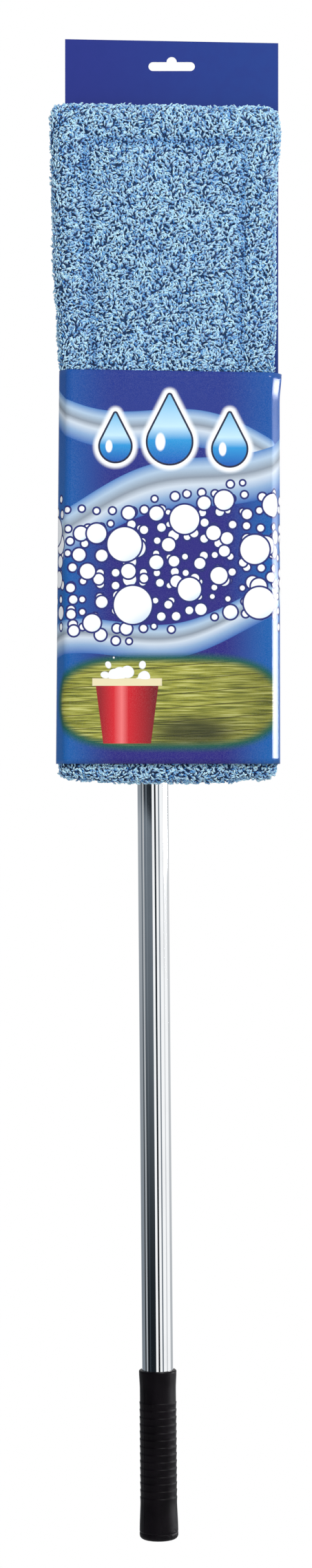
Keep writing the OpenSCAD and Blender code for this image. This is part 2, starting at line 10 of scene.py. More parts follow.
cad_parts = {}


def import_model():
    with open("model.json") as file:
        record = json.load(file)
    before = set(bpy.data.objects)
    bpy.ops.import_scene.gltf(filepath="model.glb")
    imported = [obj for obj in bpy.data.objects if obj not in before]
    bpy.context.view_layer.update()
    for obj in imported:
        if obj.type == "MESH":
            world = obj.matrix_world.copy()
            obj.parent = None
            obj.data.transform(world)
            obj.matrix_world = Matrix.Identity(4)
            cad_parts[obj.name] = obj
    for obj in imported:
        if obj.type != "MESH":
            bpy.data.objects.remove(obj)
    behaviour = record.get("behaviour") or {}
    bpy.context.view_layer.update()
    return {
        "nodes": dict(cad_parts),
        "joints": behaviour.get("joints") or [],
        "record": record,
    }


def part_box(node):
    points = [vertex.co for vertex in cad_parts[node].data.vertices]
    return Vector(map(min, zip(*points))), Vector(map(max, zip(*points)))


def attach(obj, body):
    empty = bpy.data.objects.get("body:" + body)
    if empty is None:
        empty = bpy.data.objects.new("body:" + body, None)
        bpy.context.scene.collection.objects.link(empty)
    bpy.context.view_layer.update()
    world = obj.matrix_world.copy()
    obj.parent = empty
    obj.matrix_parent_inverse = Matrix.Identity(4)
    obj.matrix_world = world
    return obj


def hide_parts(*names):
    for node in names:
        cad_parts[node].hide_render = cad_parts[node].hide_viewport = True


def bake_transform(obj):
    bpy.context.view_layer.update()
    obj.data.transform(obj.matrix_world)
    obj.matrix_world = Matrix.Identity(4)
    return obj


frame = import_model()
scene = bpy.context.scene

# Places taken from the frame
MM = 0.001
joints = {j["name"]: j for j in frame["joints"]}
sleeve_low, sleeve_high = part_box("carton_sleeve")
pad_low, pad_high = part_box("mop_pad")
backing_low, backing_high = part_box("pad_backing")
sleeve_x = (sleeve_low.x + sleeve_high.x) / 2
mop_x = (pad_low.x + pad_high.x) / 2
handle_top = Vector(joints["lock_twist"]["pos_m"])
handle_down = Vector(joints["tube_extend"]["axis"])


# Mesh building


def grid_faces(columns, rows, wrap=False):
    """Quads of a grid of points stored row by row. wrap joins the last column to the first."""
    i, j = np.meshgrid(np.arange(columns if wrap else columns - 1), np.arange(rows - 1))
    here = j * columns + i
    beside = j * columns + (i + 1) % columns
    return np.stack([here, beside, beside + columns, here + columns], -1).reshape(-1, 4)


def add_mesh(name, points, faces, *materials):
    """A smooth-shaded mesh object of points in metres."""
    mesh = bpy.data.meshes.new(name)
    mesh.from_pydata(np.asarray(points, float).tolist(), [], [list(map(int, f)) for f in faces])
    mesh.shade_smooth()
    for material in materials:
        mesh.materials.append(material)
    made = bpy.data.objects.new(name, mesh)
    scene.collection.objects.link(made)
    return made


def add_wall(obj, thickness):
    """Gives a sheet its thickness, half to each side."""
    wall = obj.modifiers.new("wall", "SOLIDIFY")
    wall.thickness = thickness
    wall.offset = 0
    return wall


def apply_modifiers(obj):
    shown = obj.evaluated_get(bpy.context.evaluated_depsgraph_get())
    mesh = bpy.data.meshes.new_from_object(shown)
    obj.modifiers.clear()
    obj.data = mesh


def get_points(obj):
    flat = np.zeros(3 * len(obj.data.vertices))
    obj.data.vertices.foreach_get("co", flat)
    return flat.reshape(-1, 3)


def set_points(obj, points):
    obj.data.vertices.foreach_set("co", np.asarray(points, float).ravel())
    obj.data.update()


def ease(low, high, value):
    """Share of the way from low to high, eased at both ends."""
    t = np.clip((np.asarray(value, float) - low) / (high - low), 0, 1)
    return t * t * (3 - 2 * t)


def wander(points, waves, shift=0):
    """Smooth noise from -1 to 1 at each point, with that many waves per metre."""
    return np.array([noise.noise(Vector(p) * waves + Vector((shift, shift, shift))) for p in points])


def rounded_path(corners, radius, step):
    """Points at most step apart along a line through corners, each rounded to about that radius."""
    corners = [Vector(c) for c in corners]
    marks = [corners[0]]
    for before, corner, after in zip(corners, corners[1:], corners[2:]):
        into = (before - corner).normalized()
        out = (after - corner).normalized()
        reach = min(radius, (before - corner).length / 3, (after - corner).length / 3)
        for t in np.linspace(0, 1, 7):
            marks.append(corner + into * reach * (1 - t) ** 2 + out * reach * t ** 2)
    marks.append(corners[-1])
    path = [marks[0]]
    for a, b in zip(marks, marks[1:]):
        count = max(1, math.ceil((b - a).length / step))
        path += [a.lerp(b, k / count) for k in range(1, count + 1)]
    return np.array(path)


def round_corners(offset_x, offset_z, half_x, half_z, corner):
    """Offsets from the middle of a rectangle, with its corners drawn in to arcs."""
    over_x = np.maximum(np.abs(offset_x) - half_x + corner, 0)
    over_z = np.maximum(np.abs(offset_z) - half_z + corner, 0)
    pull = np.maximum(over_x, over_z) / np.maximum(np.hypot(over_x, over_z), 1e-9)
    x = np.sign(offset_x) * (np.minimum(np.abs(offset_x), half_x - corner) + over_x * pull)
    z = np.sign(offset_z) * (np.minimum(np.abs(offset_z), half_z - corner) + over_z * pull)
    return x, z


def lathe(name, profile, segments, material, swell=None):
    """A closed profile of (radius, distance down the handle) turned round the handle's axis.
    swell(angle, distance) is added to the radius."""
    across = handle_down.cross(Vector((0, 1, 0))).normalized()
    front = across.cross(handle_down).normalized()
    angles = np.linspace(0, 2 * math.pi, segments, endpoint=False)
    radius, down = np.array(profile, float).T[..., None]
    if swell:
        radius = radius + swell(angles, down)
    spokes = np.cos(angles)[:, None] * np.array(front) + np.sin(angles)[:, None] * np.array(across)
    points = np.array(handle_top) + down[..., None] * np.array(handle_down) + radius[..., None] * spokes
    faces = grid_faces(segments, len(profile) + 1, wrap=True) % (segments * len(profile))
    return add_mesh(name, points.reshape(-1, 3), faces, material)


# Material building


def srgb(red, green, blue):
    """A colour as it shows on a screen, 0 to 255, as the linear colour that nodes take."""
    shares = np.array([red, green, blue]) / 255
    return tuple(np.where(shares <= 0.04045, shares / 12.92, ((shares + 0.055) / 1.055) ** 2.4).tolist())


class Value:
    """A number or colour that nodes work out at each point of a surface. Numbers take plain arithmetic."""

    def __init__(self, look, socket):
        self.look = look
        self.socket = socket

    def math(self, operation, *others):
        return self.look.add("ShaderNodeMath", {"operation": operation}, dict(enumerate((self, *others))))

    def __add__(self, other):
        return self.math("ADD", other)

    def __sub__(self, other):
        return self.math("SUBTRACT", other)

    def __mul__(self, other):
        return self.math("MULTIPLY", other)

    def __truediv__(self, other):
        return self.math("DIVIDE", other)

    def __rsub__(self, other):
        return self * -1 + other

    def __abs__(self):
        return self.math("ABSOLUTE")

    def sin(self):
        return self.math("SINE")

    def least(self, other):
        return self.math("MINIMUM", other)

    def most(self, other):
        return self.math("MAXIMUM", other)

    def hypot(self, other):
        return (self * self + other * other).math("SQRT")

    def parts(self):
        """The three numbers of a vector or colour."""
        return [self.look.add("ShaderNodeSeparateXYZ", {}, {0: self}, axis) for axis in "XYZ"]

    def ease(self, low, high):
        """Share of the way from low to high, eased at both ends."""
        inputs = {0: self, 1: min(low, high), 2: max(low, high), 3: 0.0, 4: 1.0}
        share = self.look.add("ShaderNodeMapRange", {"interpolation_type": "SMOOTHSTEP"}, inputs)
        return share if low < high else 1 - share


class Look:
    """A material or a world in the making: its nodes, and short ways to add more."""

    def __init__(self, owner, output, inputs):
        owner.use_nodes = True
        self.owner = owner
        self.tree = owner.node_tree
        self.output = self.tree.nodes[output]
        self.put(inputs)

    def put(self, inputs):
        """Sets or links inputs of the output by name."""
        for name, value in inputs.items():
            self.feed(self.output.inputs[name], value)

    def feed(self, socket, value):
        if isinstance(value, Value):
            self.tree.links.new(value.socket, socket)
        elif socket.type == "RGBA":
            socket.default_value = (*value, 1)
        else:
            socket.default_value = value

    def add(self, kind, settings, inputs, output=0):
        node = self.tree.nodes.new(kind)
        for name, value in settings.items():
            setattr(node, name, value)
        for name, value in inputs.items():
            self.feed(node.inputs[name], value)
        return Value(self, node.outputs[output])

    def place(self, origin=(0, 0, 0)):
        """The point's x, y and z in millimetres from an origin in metres."""
        spot = self.add("ShaderNodeTexCoord", {}, {}, "Object")
        return [(part - float(start)) * 1000 for part, start in zip(spot.parts(), origin)]

    def joined(self, x, y, z=0.0):
        return self.add("ShaderNodeCombineXYZ", {}, {0: x, 1: y, 2: z})

    def noise(self, size, detail=2.0, stretch=(1, 1, 1)):
        """Smooth noise from 0 to 1 with features of about size millimetres, drawn out by stretch."""
        x, y, z = self.place()
        spot = self.joined(x / (size * stretch[0]), y / (size * stretch[1]), z / (size * stretch[2]))
        return self.add("ShaderNodeTexNoise", {}, {"Vector": spot, "Scale": 1.0, "Detail": detail})

    def cells(self, x, y, size, output="Distance", scatter=1.0):
        """Distance to the nearest of centres about size apart, in sizes, or another output of the cell."""
        inputs = {"Vector": self.joined(x / size, y / size), "Scale": 1.0, "Randomness": scatter}
        return self.add("ShaderNodeTexVoronoi", {"voronoi_dimensions": "2D"}, inputs, output)

    def mix(self, share, first, second):
        return self.add("ShaderNodeMix", {"data_type": "RGBA"}, {0: share, 6: first, 7: second}, 2)

    def ramp(self, value, stops):
        """A colour that runs through (position, colour) stops."""
        made = self.add("ShaderNodeValToRGB", {}, {0: value})
        elements = made.socket.node.color_ramp.elements
        while len(elements) < len(stops):
            elements.new(0.5)
        for element, (position, colour) in zip(elements, stops):
            element.position = position
            element.color = (*colour, 1)
        return made

    def bump(self, height, depth):
        """The surface's normal, tilted by a height from 0 to 1 that stands for depth millimetres."""
        return self.add("ShaderNodeBump", {}, {"Height": height, "Distance": depth * MM, "Strength": 1.0})

    def worn_edge(self, radius):
        """1 on sharp edges and 0 on flats, from a normal rounded over radius millimetres."""
        rounded = self.add("ShaderNodeBevel", {"samples": 4}, {"Radius": radius * MM})
        true = self.add("ShaderNodeNewGeometry", {}, {}, "Normal")
        same = self.add("ShaderNodeVectorMath", {"operation": "DOT_PRODUCT"}, {0: rounded, 1: true}, 1)
        return (1 - same).ease(0.02, 0.25)

    def weave(self, x, z, pitch):
        """Height of a plain weave of threads a pitch apart, from 0 to 1."""
        turn = math.pi / pitch
        warp = abs((x * turn).sin())
        weft = abs((z * turn).sin())
        over = ((x * turn / 2 + 0.4).sin() * (z * turn / 2 + 0.4).sin()).ease(-0.25, 0.25)
        return warp * over + weft * (1 - over)


def surface(name, inputs):
    """A new material's look."""
    return Look(bpy.data.materials.new(name), "Principled BSDF", inputs)


def moulded(name, dark, light, roughness, grain_size, grain_depth, coat, shine=0.5, wear=0.04):
    """Moulded plastic or rubber: mottled colour, fine surface grain and edges that wear has made paler."""
    look = surface(name, {"Coat Weight": coat, "Coat Roughness": 0.08, "Specular IOR Level": shine})
    patch = look.noise(14, 4.0)
    grain = look.noise(grain_size, 3.0)
    scuff = look.noise(1.6, 2.0, (1, 1, 14)).ease(0.62, 0.8)
    colour = look.mix(patch.ease(0.3, 0.7), dark, light)
    pale = tuple(0.75 * c + wear for c in light)
    look.put({
        "Base Color": look.mix(look.worn_edge(0.5) * 0.5 + scuff * 0.08, colour, pale),
        "Roughness": patch * 0.1 + scuff * 0.12 + roughness,
        "Normal": look.bump(grain, grain_depth)})
    return look.owner


def metal(name, colour, roughness, streak_depth):
    """Plated metal with draw lines along Z, faint smudges and uneven polish."""
    look = surface(name, {"Metallic": 1.0})
    streak = look.noise(0.5, 2.0, (1, 1, 90))
    smudge = look.noise(18, 4.0, (1, 1, 2)).ease(0.45, 0.75)
    dull = tuple(0.86 * c for c in colour)
    look.put({
        "Base Color": look.mix(smudge * 0.35, colour, dull),
        "Roughness": smudge * 0.03 + streak * 0.02 + roughness,
        "Normal": look.bump(streak, streak_depth)})
    return look.owner


def coated_card():
    """Coated blue card: a flat ink with paper mottle, paler at the raw cut edges."""
    look = surface("blue_card", {"Coat Weight": 0.05, "Coat Roughness": 0.25, "Specular IOR Level": 0.25})
    x = look.place()[0]
    fibre = look.noise(0.7, 4.0)
    mottle = look.noise(9, 3.0)
    ink = look.mix(x.ease(-75, 75), srgb(30, 44, 128), srgb(20, 55, 134))
    ink = look.mix(mottle.ease(0.35, 0.7) * 0.25, ink, srgb(24, 42, 124))
    facing = abs(look.add("ShaderNodeTexCoord", {}, {}, "Normal").parts()[1])
    paper = look.mix(fibre, srgb(196, 202, 214), srgb(236, 238, 242))
    look.put({
        "Base Color": look.mix(facing.ease(0.7, 0.3), ink, paper),
        "Roughness": fibre * 0.12 + 0.34,
        "Normal": look.bump(fibre, 0.02)})
    return look.owner


def bare_card(name, dark, light):
    """Uncoated card with fibres, for the inside of the sleeve and its cut edges."""
    look = surface(name, {"Roughness": 0.85})
    fibre = look.noise(0.35, 5.0, (3, 1, 1))
    look.put({"Base Color": look.mix(fibre, dark, light), "Normal": look.bump(fibre, 0.04)})
    return look.owner


def woven(name, dark, light, pitch):
    """Woven cloth with uneven threads and a soft sheen, darker in the weave's hollows as painted shade."""
    look = surface(name, {"Sheen Weight": 0.3, "Roughness": 0.88})
    x, _, z = look.place()
    drift = look.noise(5, 2.0) * 0.5
    height = look.weave(x + drift, z + drift, pitch)
    slub = look.noise(0.8, 3.0, (6, 6, 1))
    # Painted shade: the colour follows the weave's height, darker in its hollows; the slub is the threads'
    # own unevenness.
    tint = height * 0.7 + slub * 0.5
    look.put({
        "Base Color": look.mix(tint.ease(0.15, 1.0), dark, light),
        "Normal": look.bump(height, 0.18)})
    return look.owner


def pile_look():
    """Curled microfibre: navy roots as painted shade, pale blue tips as painted highlight, and each strand
    darker in the gaps between tufts as painted shade, with a little random variation.
    """
    look = surface("microfibre", {
        "Sheen Weight": 0.3, "Sheen Roughness": 0.4, "Roughness": 0.8, "Specular IOR Level": 0.2})
    tip = look.add("ShaderNodeAttribute", {"attribute_name": "tip"}, {}, "Fac")
    tone_and_shade = look.add("ShaderNodeAttribute", {"attribute_name": "tone_and_shade"}, {}, "Fac")
    patch = look.noise(16, 3.0)
    fuzz = look.noise(0.5, 3.0)
    # Painted shade and highlight along each strand: navy at the root for the shade among the strands, pale
    # at the tip for its highlight.
    strand = look.ramp(tip, [
        (0.0, srgb(2, 20, 56)), (0.3, srgb(12, 92, 190)),
        (0.6, srgb(98, 212, 255)), (1.0, srgb(226, 255, 255))])
    # Painted shade for each strand: lighter in the tufts, darker in the gaps and on the sewn line.
    shade = look.mix(tone_and_shade, srgb(2, 68, 172), srgb(236, 255, 255))
    strand = look.mix(0.55, strand, shade)
    look.put({
        "Base Color": look.mix(patch.ease(0.45, 0.75) * 0.15, strand, srgb(88, 152, 224)),
        "Normal": look.bump(fuzz, 0.12)})
    return look.owner


def pad_ground():
    """The knitted ground that the pile stands on: deep blue darkened as painted shade for the gaps between
    the strands, and darker between its loops as painted shade.
    """
    look = surface("pile_ground", {"Roughness": 0.95, "Sheen Weight": 0.15})
    x, _, z = look.place()
    loops = look.cells(x, z, 1.5)
    # Painted shade: the ground is painted very dark for the gaps among the strands, and darker still
    # between its loops.
    look.put({
        "Base Color": look.mix(loops, srgb(22, 70, 116), srgb(3, 24, 52)),
        "Normal": look.bump(1 - loops, 0.5)})
    return look.owner


# The sleeve's print. x and z are millimetres from the middle of the sleeve's lower edge, with x unrolled
# round its sides, and each motif takes the ink below it and gives the ink with the motif on top.
PAPER_WHITE = (0.93, 0.95, 0.97)


def swooshes(look, ink, x, z):
    """Three silver bands that sweep across."""
    silver = [(0.0, srgb(44, 98, 176)), (0.25, srgb(140, 172, 208)), (0.45, srgb(206, 218, 230)),
              (0.6, srgb(138, 150, 164)), (0.8, srgb(176, 200, 222)), (1.0, srgb(70, 126, 192))]
    for level, slope, swing, half, phase in (
            (226, -0.26, 9, 13, 0.4), (184, 0.34, 8, 17, 2.2), (92, 0.2, 9, 12, 4.4)):
        line = x * slope + (x / 27 + phase).sin() * swing + level
        across = (z - line) / half
        ink = look.mix(abs(across).ease(1.0, 0.96), ink, look.ramp(across * 0.5 + 0.5, silver))
    return ink


def drop(look, ink, x, z, size):
    """A water drop with a white halo, a dark outline and a glint. x and z are from its belly's middle."""
    rise = 2.1 * size
    taper = 0.95
    slant = taper / math.sqrt((rise / size) ** 2 - taper ** 2)
    up = ((z - abs(x) * slant) / rise).most(0.0).least(1.0)
    edge = x.hypot(z - up * rise) - (1 - up * taper) * size
    water = look.ramp((z + size) / (rise + size), [
        (0.0, srgb(8, 84, 176)), (0.35, srgb(40, 150, 214)),
        (0.55, srgb(196, 230, 246)), (1.0, srgb(112, 186, 230))])
    ink = look.mix(edge.ease(6.0, 2.6), ink, PAPER_WHITE)
    ink = look.mix(edge.ease(1.5, 1.1), ink, srgb(18, 26, 60))
    ink = look.mix(edge.ease(0.2, -0.2), ink, water)
    glint = (x + 0.42 * size).hypot(z * 0.55)
    return look.mix(glint.ease(0.26 * size, 0.18 * size), ink, PAPER_WHITE)


def foam(look, ink, x, z):
    """A bank of soap bubbles: each layer's are larger, lie over the last and keep closer to the middle."""
    scatter, middle, wave = 0.55, 138, 8
    for size, reach in ((10, 50), (17, 47), (29, 42), (48, 36)):
        own = look.cells(x, z, size, "Color", scatter).parts()[0]
        centre_x, centre_z, _ = look.cells(x, z, size, "Position", scatter).parts()
        away = abs(centre_z * size - (centre_x * (size / 24)).sin() * wave - middle)
        share = own * 0.13 + 0.15 - away.ease(reach - 3, reach) * 9
        edge = (look.cells(x, z, size, "Distance", scatter) - share) * size
        low_side = ((x - centre_x * size) * 0.5 - (z - centre_z * size) * 0.8) / size
        body = look.mix(low_side.ease(0.1, 0.4), PAPER_WHITE, srgb(150, 198, 236))
        ink = look.mix(edge.ease(1.5, 1.1), ink, srgb(20, 30, 110))
        ink = look.mix(edge.ease(0.3, -0.2), ink, body)
    return ink


def plank_floor(look, ink, x, z):
    """A plank floor in an oval with a blurred green rim, lit from the left."""
    grain = look.noise(1.1, 5.0, (24, 24, 1))
    wood = look.ramp(grain, [
        (0.3, srgb(54, 64, 14)), (0.43, srgb(118, 122, 36)),
        (0.55, srgb(166, 166, 68)), (0.72, srgb(218, 218, 142))])
    seam = abs(((z - x * 0.08) * (math.pi / 9.5)).sin()).ease(0.0, 0.16)
    wood = look.mix(seam, srgb(70, 66, 10), wood)
    shade = (x - 16).hypot((z - 22) * 2.6).ease(44, 10) * 0.85 + x.ease(10, 70) * 0.3
    wood = look.mix(shade, wood, srgb(36, 40, 6))
    oval = 1 - ((x / 80) * (x / 80)).hypot((z - 42) / 32)
    ink = look.mix(oval.ease(-0.1, 0.08), ink, srgb(0, 84, 66))
    return look.mix(oval.ease(0.04, 0.2), ink, wood)


def bucket(look, ink, x, z):
    """A red bucket with a cream rim and suds. x and z are from the middle of its foot."""
    tall = 31
    paint = look.ramp(x / 34 + 0.5, [
        (0.1, srgb(150, 12, 26)), (0.3, srgb(214, 26, 40)), (0.42, srgb(242, 120, 120)),
        (0.52, srgb(208, 20, 36)), (0.9, srgb(120, 8, 22))])
    wall = (abs(x) - z * (4 / tall) - 12).most(abs(z - tall / 2) - tall / 2)
    rim = (abs(z - tall) - 1.8).most(abs(x) - 17.5)
    heap = abs(x).ease(16, 8) * (z - tall).ease(16, 2) * (z - tall).ease(1, 2)
    suds = (heap * 0.62 - look.cells(x, z, 7.0)).ease(0.0, 0.08)
    ink = look.mix(wall.ease(0.3, -0.1), ink, paint)
    ink = look.mix(rim.ease(0.3, -0.1), ink, srgb(236, 224, 182))
    return look.mix(suds, ink, PAPER_WHITE)


def sleeve_print():
    """The sleeve's gloss print: silver bands, drops, foam, and a bucket on a plank floor, on blue."""
    look = surface("printed_card", {"Coat Weight": 0.25, "Coat Roughness": 0.12, "Specular IOR Level": 0.1})
    x, y, z = look.place((sleeve_x, sleeve_low.y + 1.5 * MM, sleeve_low.z))
    x += x.math("SIGN") * y.most(0.0)
    ink = look.mix(abs(x).ease(34, 74), srgb(32, 26, 122), srgb(2, 92, 168))
    ink = look.mix(z.ease(150, 260) * 0.5, ink, srgb(14, 62, 148))
    ink = swooshes(look, ink, x, z)
    for drop_x, drop_z, size in ((-36, 217, 10.5), (1, 220, 15.0), (42, 215, 11.5)):
        ink = drop(look, ink, x - drop_x, z - drop_z, size)
    ink = foam(look, ink, x, z)
    ink = plank_floor(look, ink, x, z)
    bucket_scale = 1.35
    ink = bucket(look, ink, (x + 28) / bucket_scale, (z - 14) / bucket_scale)
    speck = look.noise(0.4, 3.0)
    ripple = look.noise(30, 2.0, (1, 1, 3))
    look.put({
        "Base Color": look.mix(speck.ease(0.35, 0.75) * 0.05, ink, PAPER_WHITE),
        "Roughness": speck * 0.1 + 0.3,
        "Normal": look.bump(ripple, 0.5)})
    return look.owner


slots = {
    "blue_card": coated_card(),
    "printed_card": sleeve_print(),
    "red_plastic": moulded(
        "red_plastic", srgb(178, 10, 20), srgb(204, 20, 30),
        roughness=0.16, grain_size=1.2, grain_depth=0.02, coat=0.5),
    "black_plastic": moulded(
        "black_plastic", srgb(17, 17, 19), srgb(28, 28, 31),
        roughness=0.36, grain_size=0.35, grain_depth=0.05, coat=0.15),
    "steel": metal("steel", srgb(190, 192, 196), roughness=0.26, streak_depth=0.01),
    "backing_cloth": woven("backing_cloth", srgb(34, 76, 140), srgb(84, 136, 198), pitch=0.9),
    "microfibre": pile_look(),
    "pocket_cloth": woven("pocket_cloth", srgb(196, 184, 140), srgb(244, 238, 208), pitch=0.8),
    "chrome": metal("chrome", srgb(244, 246, 248), roughness=0.02, streak_depth=0.0015),
    "white_plastic": moulded(
        "white_plastic", srgb(214, 212, 202), srgb(234, 233, 226),
        roughness=0.4, grain_size=0.6, grain_depth=0.02, coat=0),
    "grip_rubber": moulded(
        "grip_rubber", srgb(6, 4, 7), srgb(13, 9, 14),
        roughness=0.34, grain_size=0.3, grain_depth=0.03, coat=0, shine=0.09, wear=0.03)}
raw_edge = bare_card("raw_edge", srgb(206, 210, 218), srgb(246, 247, 250))
card_inside = bare_card("card_inside", srgb(176, 174, 168), srgb(206, 204, 198))
ground_cloth = pad_ground()
white_tape = woven("white_tape", srgb(206, 206, 204), srgb(250, 250, 248), pitch=0.6)
thread = woven("thread", srgb(204, 204, 196), srgb(246, 246, 240), pitch=0.3)

for part in frame["record"]["subparts"]:
    node = frame["nodes"][part["node"]]
    node.data.materials.clear()
    node.data.materials.append(slots[part["material_slot"]])


# Carton sleeve
# How far each side wall's top leans to the right, as in the photograph
LEFT_LEAN, RIGHT_LEAN = 2.2 * MM, -0.4 * MM


def carton_sleeve():
    """The wrap with rounded creases, a bowed front, a slanted top edge and bare cut edges."""
    card = 0.6 * MM
    side = (sleeve_high.x - sleeve_low.x) / 2 - card / 2
    crease = side - 6 * MM
    front = sleeve_low.y + card / 2
    bevel = front + 10 * MM
    back = sleeve_high.y - card / 2
    flap_end = side - 40 * MM
    corners = [(-flap_end, back), (-side, back), (-side, bevel), (-crease, front),
               (crease, front), (side, bevel), (side, back), (flap_end, back)]
    path = rounded_path(corners, 3 * MM, 4 * MM)
    share = np.linspace(0, 1, 70)[:, None]
    x, y = path.T
    on_front = 1 - ease(bevel, back, y)
    lean = np.where(x < 0, LEFT_LEAN, RIGHT_LEAN) * share * np.abs(x) / side
    flare = 1.4 * MM * ease(0.93, 1, share) * ease(0.8 * side, side, x)
    bow = -0.7 * MM * np.cos(np.clip(x / crease, -1, 1) * math.pi / 2) * np.sin(share * math.pi) * on_front
    top = sleeve_high.z + (0.8 - 2.4 * (x + side) / (2 * side)) * MM * on_front
    z = sleeve_low.z + share * (top - sleeve_low.z)
    points = np.stack([x + sleeve_x + lean + flare, y + bow, z], -1).reshape(-1, 3)
    faces = grid_faces(len(path), len(share))
    made = add_mesh("sleeve_wrap", points, faces, slots["printed_card"], card_inside, raw_edge)
    wall = add_wall(made, card)
    wall.material_offset = 1
    wall.material_offset_rim = 2
    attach(made, "carton")
    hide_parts("carton_sleeve")


# Mop pad
SEAM_INSET = 23 * MM
STRAND_RINGS = 5
STRAND_SIDES = 4
# The body's edges by height, as they show in the photograph inside the tufts: z, left, right
PAD_EDGES = np.array([
    (-496, -75, 69), (-489, -77.5, 71.5), (-481, -77, 71), (-470, -75.5, 68), (-225, -75.5, 68.5),
    (-205, -77.2, 69.8), (-133, -80.8, 70.6), (-75, -82.2, 71.6), (-50, -83.6, 74.2),
    (-32, -82.6, 72.4)]) * MM


def bend_at_fold(obj):
    """Bakes the piece's place into its points; it doesn't bend the piece at the fold."""
    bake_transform(obj)


def held_by_sleeve(points, margin, soft):
    """Points between the sleeve's edges, moved to at least margin inside its faces, softly at its edges."""
    x, y, z = points.T
    inside = ease(sleeve_low.z - soft, sleeve_low.z + soft, z)
    inside *= 1 - ease(sleeve_high.z - soft, sleeve_high.z + soft, z)
    share = (z - sleeve_low.z) / (sleeve_high.z - sleeve_low.z)
    left = sleeve_low.x + LEFT_LEAN * share + margin
    right = sleeve_high.x + RIGHT_LEAN * share - margin
    held = np.stack([np.clip(x, left, right), np.maximum(y, sleeve_low.y + margin), z], -1)
    return points + (held - points) * inside[:, None]


def pad_depth(inset):
    """Thickness of the pad's body at an inset from its edge: border roll, sewn channel and crown."""
    roll_r, edge, border, channel, crown = 8 * MM, 3.5 * MM, 9.2 * MM, 2.2 * MM, 1.0 * MM
    roll = edge + (border - edge) * np.sqrt(1 - (1 - np.minimum(inset, roll_r) / roll_r) ** 2)
    dip = channel * (1 - ease(0, 5 * MM, np.abs(inset - SEAM_INSET)))
    return roll - dip + crown * ease(SEAM_INSET, SEAM_INSET + 25 * MM, inset)


def pad_form():
    """The pad's body before it swells, as an even front and back joined round the edge, and its insets."""
    columns, rows, corner = 41, 117, 8 * MM
    half_x, half_z = 77 * MM, 230 * MM
    u, w = np.meshgrid(np.linspace(-half_x, half_x, columns), np.linspace(-half_z, half_z, rows))
    inset = np.minimum(half_x - np.abs(u), half_z - np.abs(w)).ravel()
    x, z = (grid.ravel() for grid in round_corners(u, w, half_x, half_z, corner))
    z += (pad_low.z + pad_high.z) / 2
    # The lower edge sags in the middle, with a notch on the right, and the upper edge rises to the left
    notch = 2 * MM * np.exp(-((x - 56 * MM) / (4 * MM)) ** 2)
    sag = (1.5 - 3.5 * np.cos(x / half_x * 1.4)) * MM + notch
    lift = (2.5 - 1.2 * x / half_x) * MM
    from_end = half_z - np.abs(w.ravel())
    shaped = 30 * MM
    hem = ease(shaped, 0, from_end) * np.where(w.ravel() < 0, sag, lift)
    height, left, right = PAD_EDGES.T
    left, right = np.interp(z, height, left), np.interp(z, height, right)
    x = (left + right) / 2 + x / half_x * (right - left) / 2
    back = np.full_like(x, pad_high.y)
    front = np.stack([x, back - pad_depth(inset), z + hem], -1)
    behind = np.stack([x, back, z + hem], -1)
    cells = grid_faces(columns, rows)
    index = np.arange(columns * rows).reshape(rows, columns)
    rim = np.concatenate([index[0, :-1], index[:-1, -1], index[-1, :0:-1], index[:0:-1, 0]])
    after = np.roll(rim, -1)
    size = columns * rows
    edge_faces = np.stack([after, rim, rim + size, after + size], -1)
    faces = np.concatenate([cells, cells[:, ::-1] + size, edge_faces])
    return add_mesh("pad_body", np.concatenate([front, behind]), faces, ground_cloth), inset


def swell_pad(obj, inset):
    """Swells the body as cloth under pressure, held at its back and along the sewn channel."""
    start = get_points(obj)
    seam_half, farthest, frames = 2.5 * MM, 2.5 * MM, 20
    on_seam = np.abs(inset - SEAM_INSET) < seam_half
    on_back = np.ones(len(start) - len(inset), bool)
    sewn = obj.vertex_groups.new(name="sewn")
    sewn.add(np.flatnonzero(np.concatenate([on_seam, on_back])).tolist(), 1.0, "REPLACE")
    cloth = obj.modifiers.new("swell", "CLOTH")
    cloth.settings.quality = 4
    cloth.settings.use_pressure = True
    cloth.settings.uniform_pressure_force = 4
    cloth.settings.effector_weights.gravity = 0
    cloth.settings.vertex_group_mass = "sewn"
    cloth.collision_settings.use_collision = False
    for step in range(1, frames + 1):
        scene.frame_set(step)
    apply_modifiers(obj)
    scene.frame_set(1)
    move = get_points(obj) - start
    far = np.linalg.norm(move, axis=1, keepdims=True)
    set_points(obj, start + move * np.minimum(1, farthest / np.maximum(far, 1e-9)))


def pad_body():
    """The pad's stuffed body: swollen, pressed flat inside the sleeve and smoothed."""
    made, inset = pad_form()
    swell_pad(made, inset)
    points = get_points(made)
    points[:, 0] += wander(points, 45) * 1.0 * MM
    points[:, 2] += wander(points, 30, 5) * 0.8 * MM
    set_points(made, held_by_sleeve(points, 3.4 * MM, 9 * MM))
    smooth = made.modifiers.new("smooth", "SUBSURF")
    smooth.levels = smooth.render_levels = 1
    apply_modifiers(made)
    made.data.shade_smooth()
    bend_at_fold(made)
    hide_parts("mop_pad")
    return made


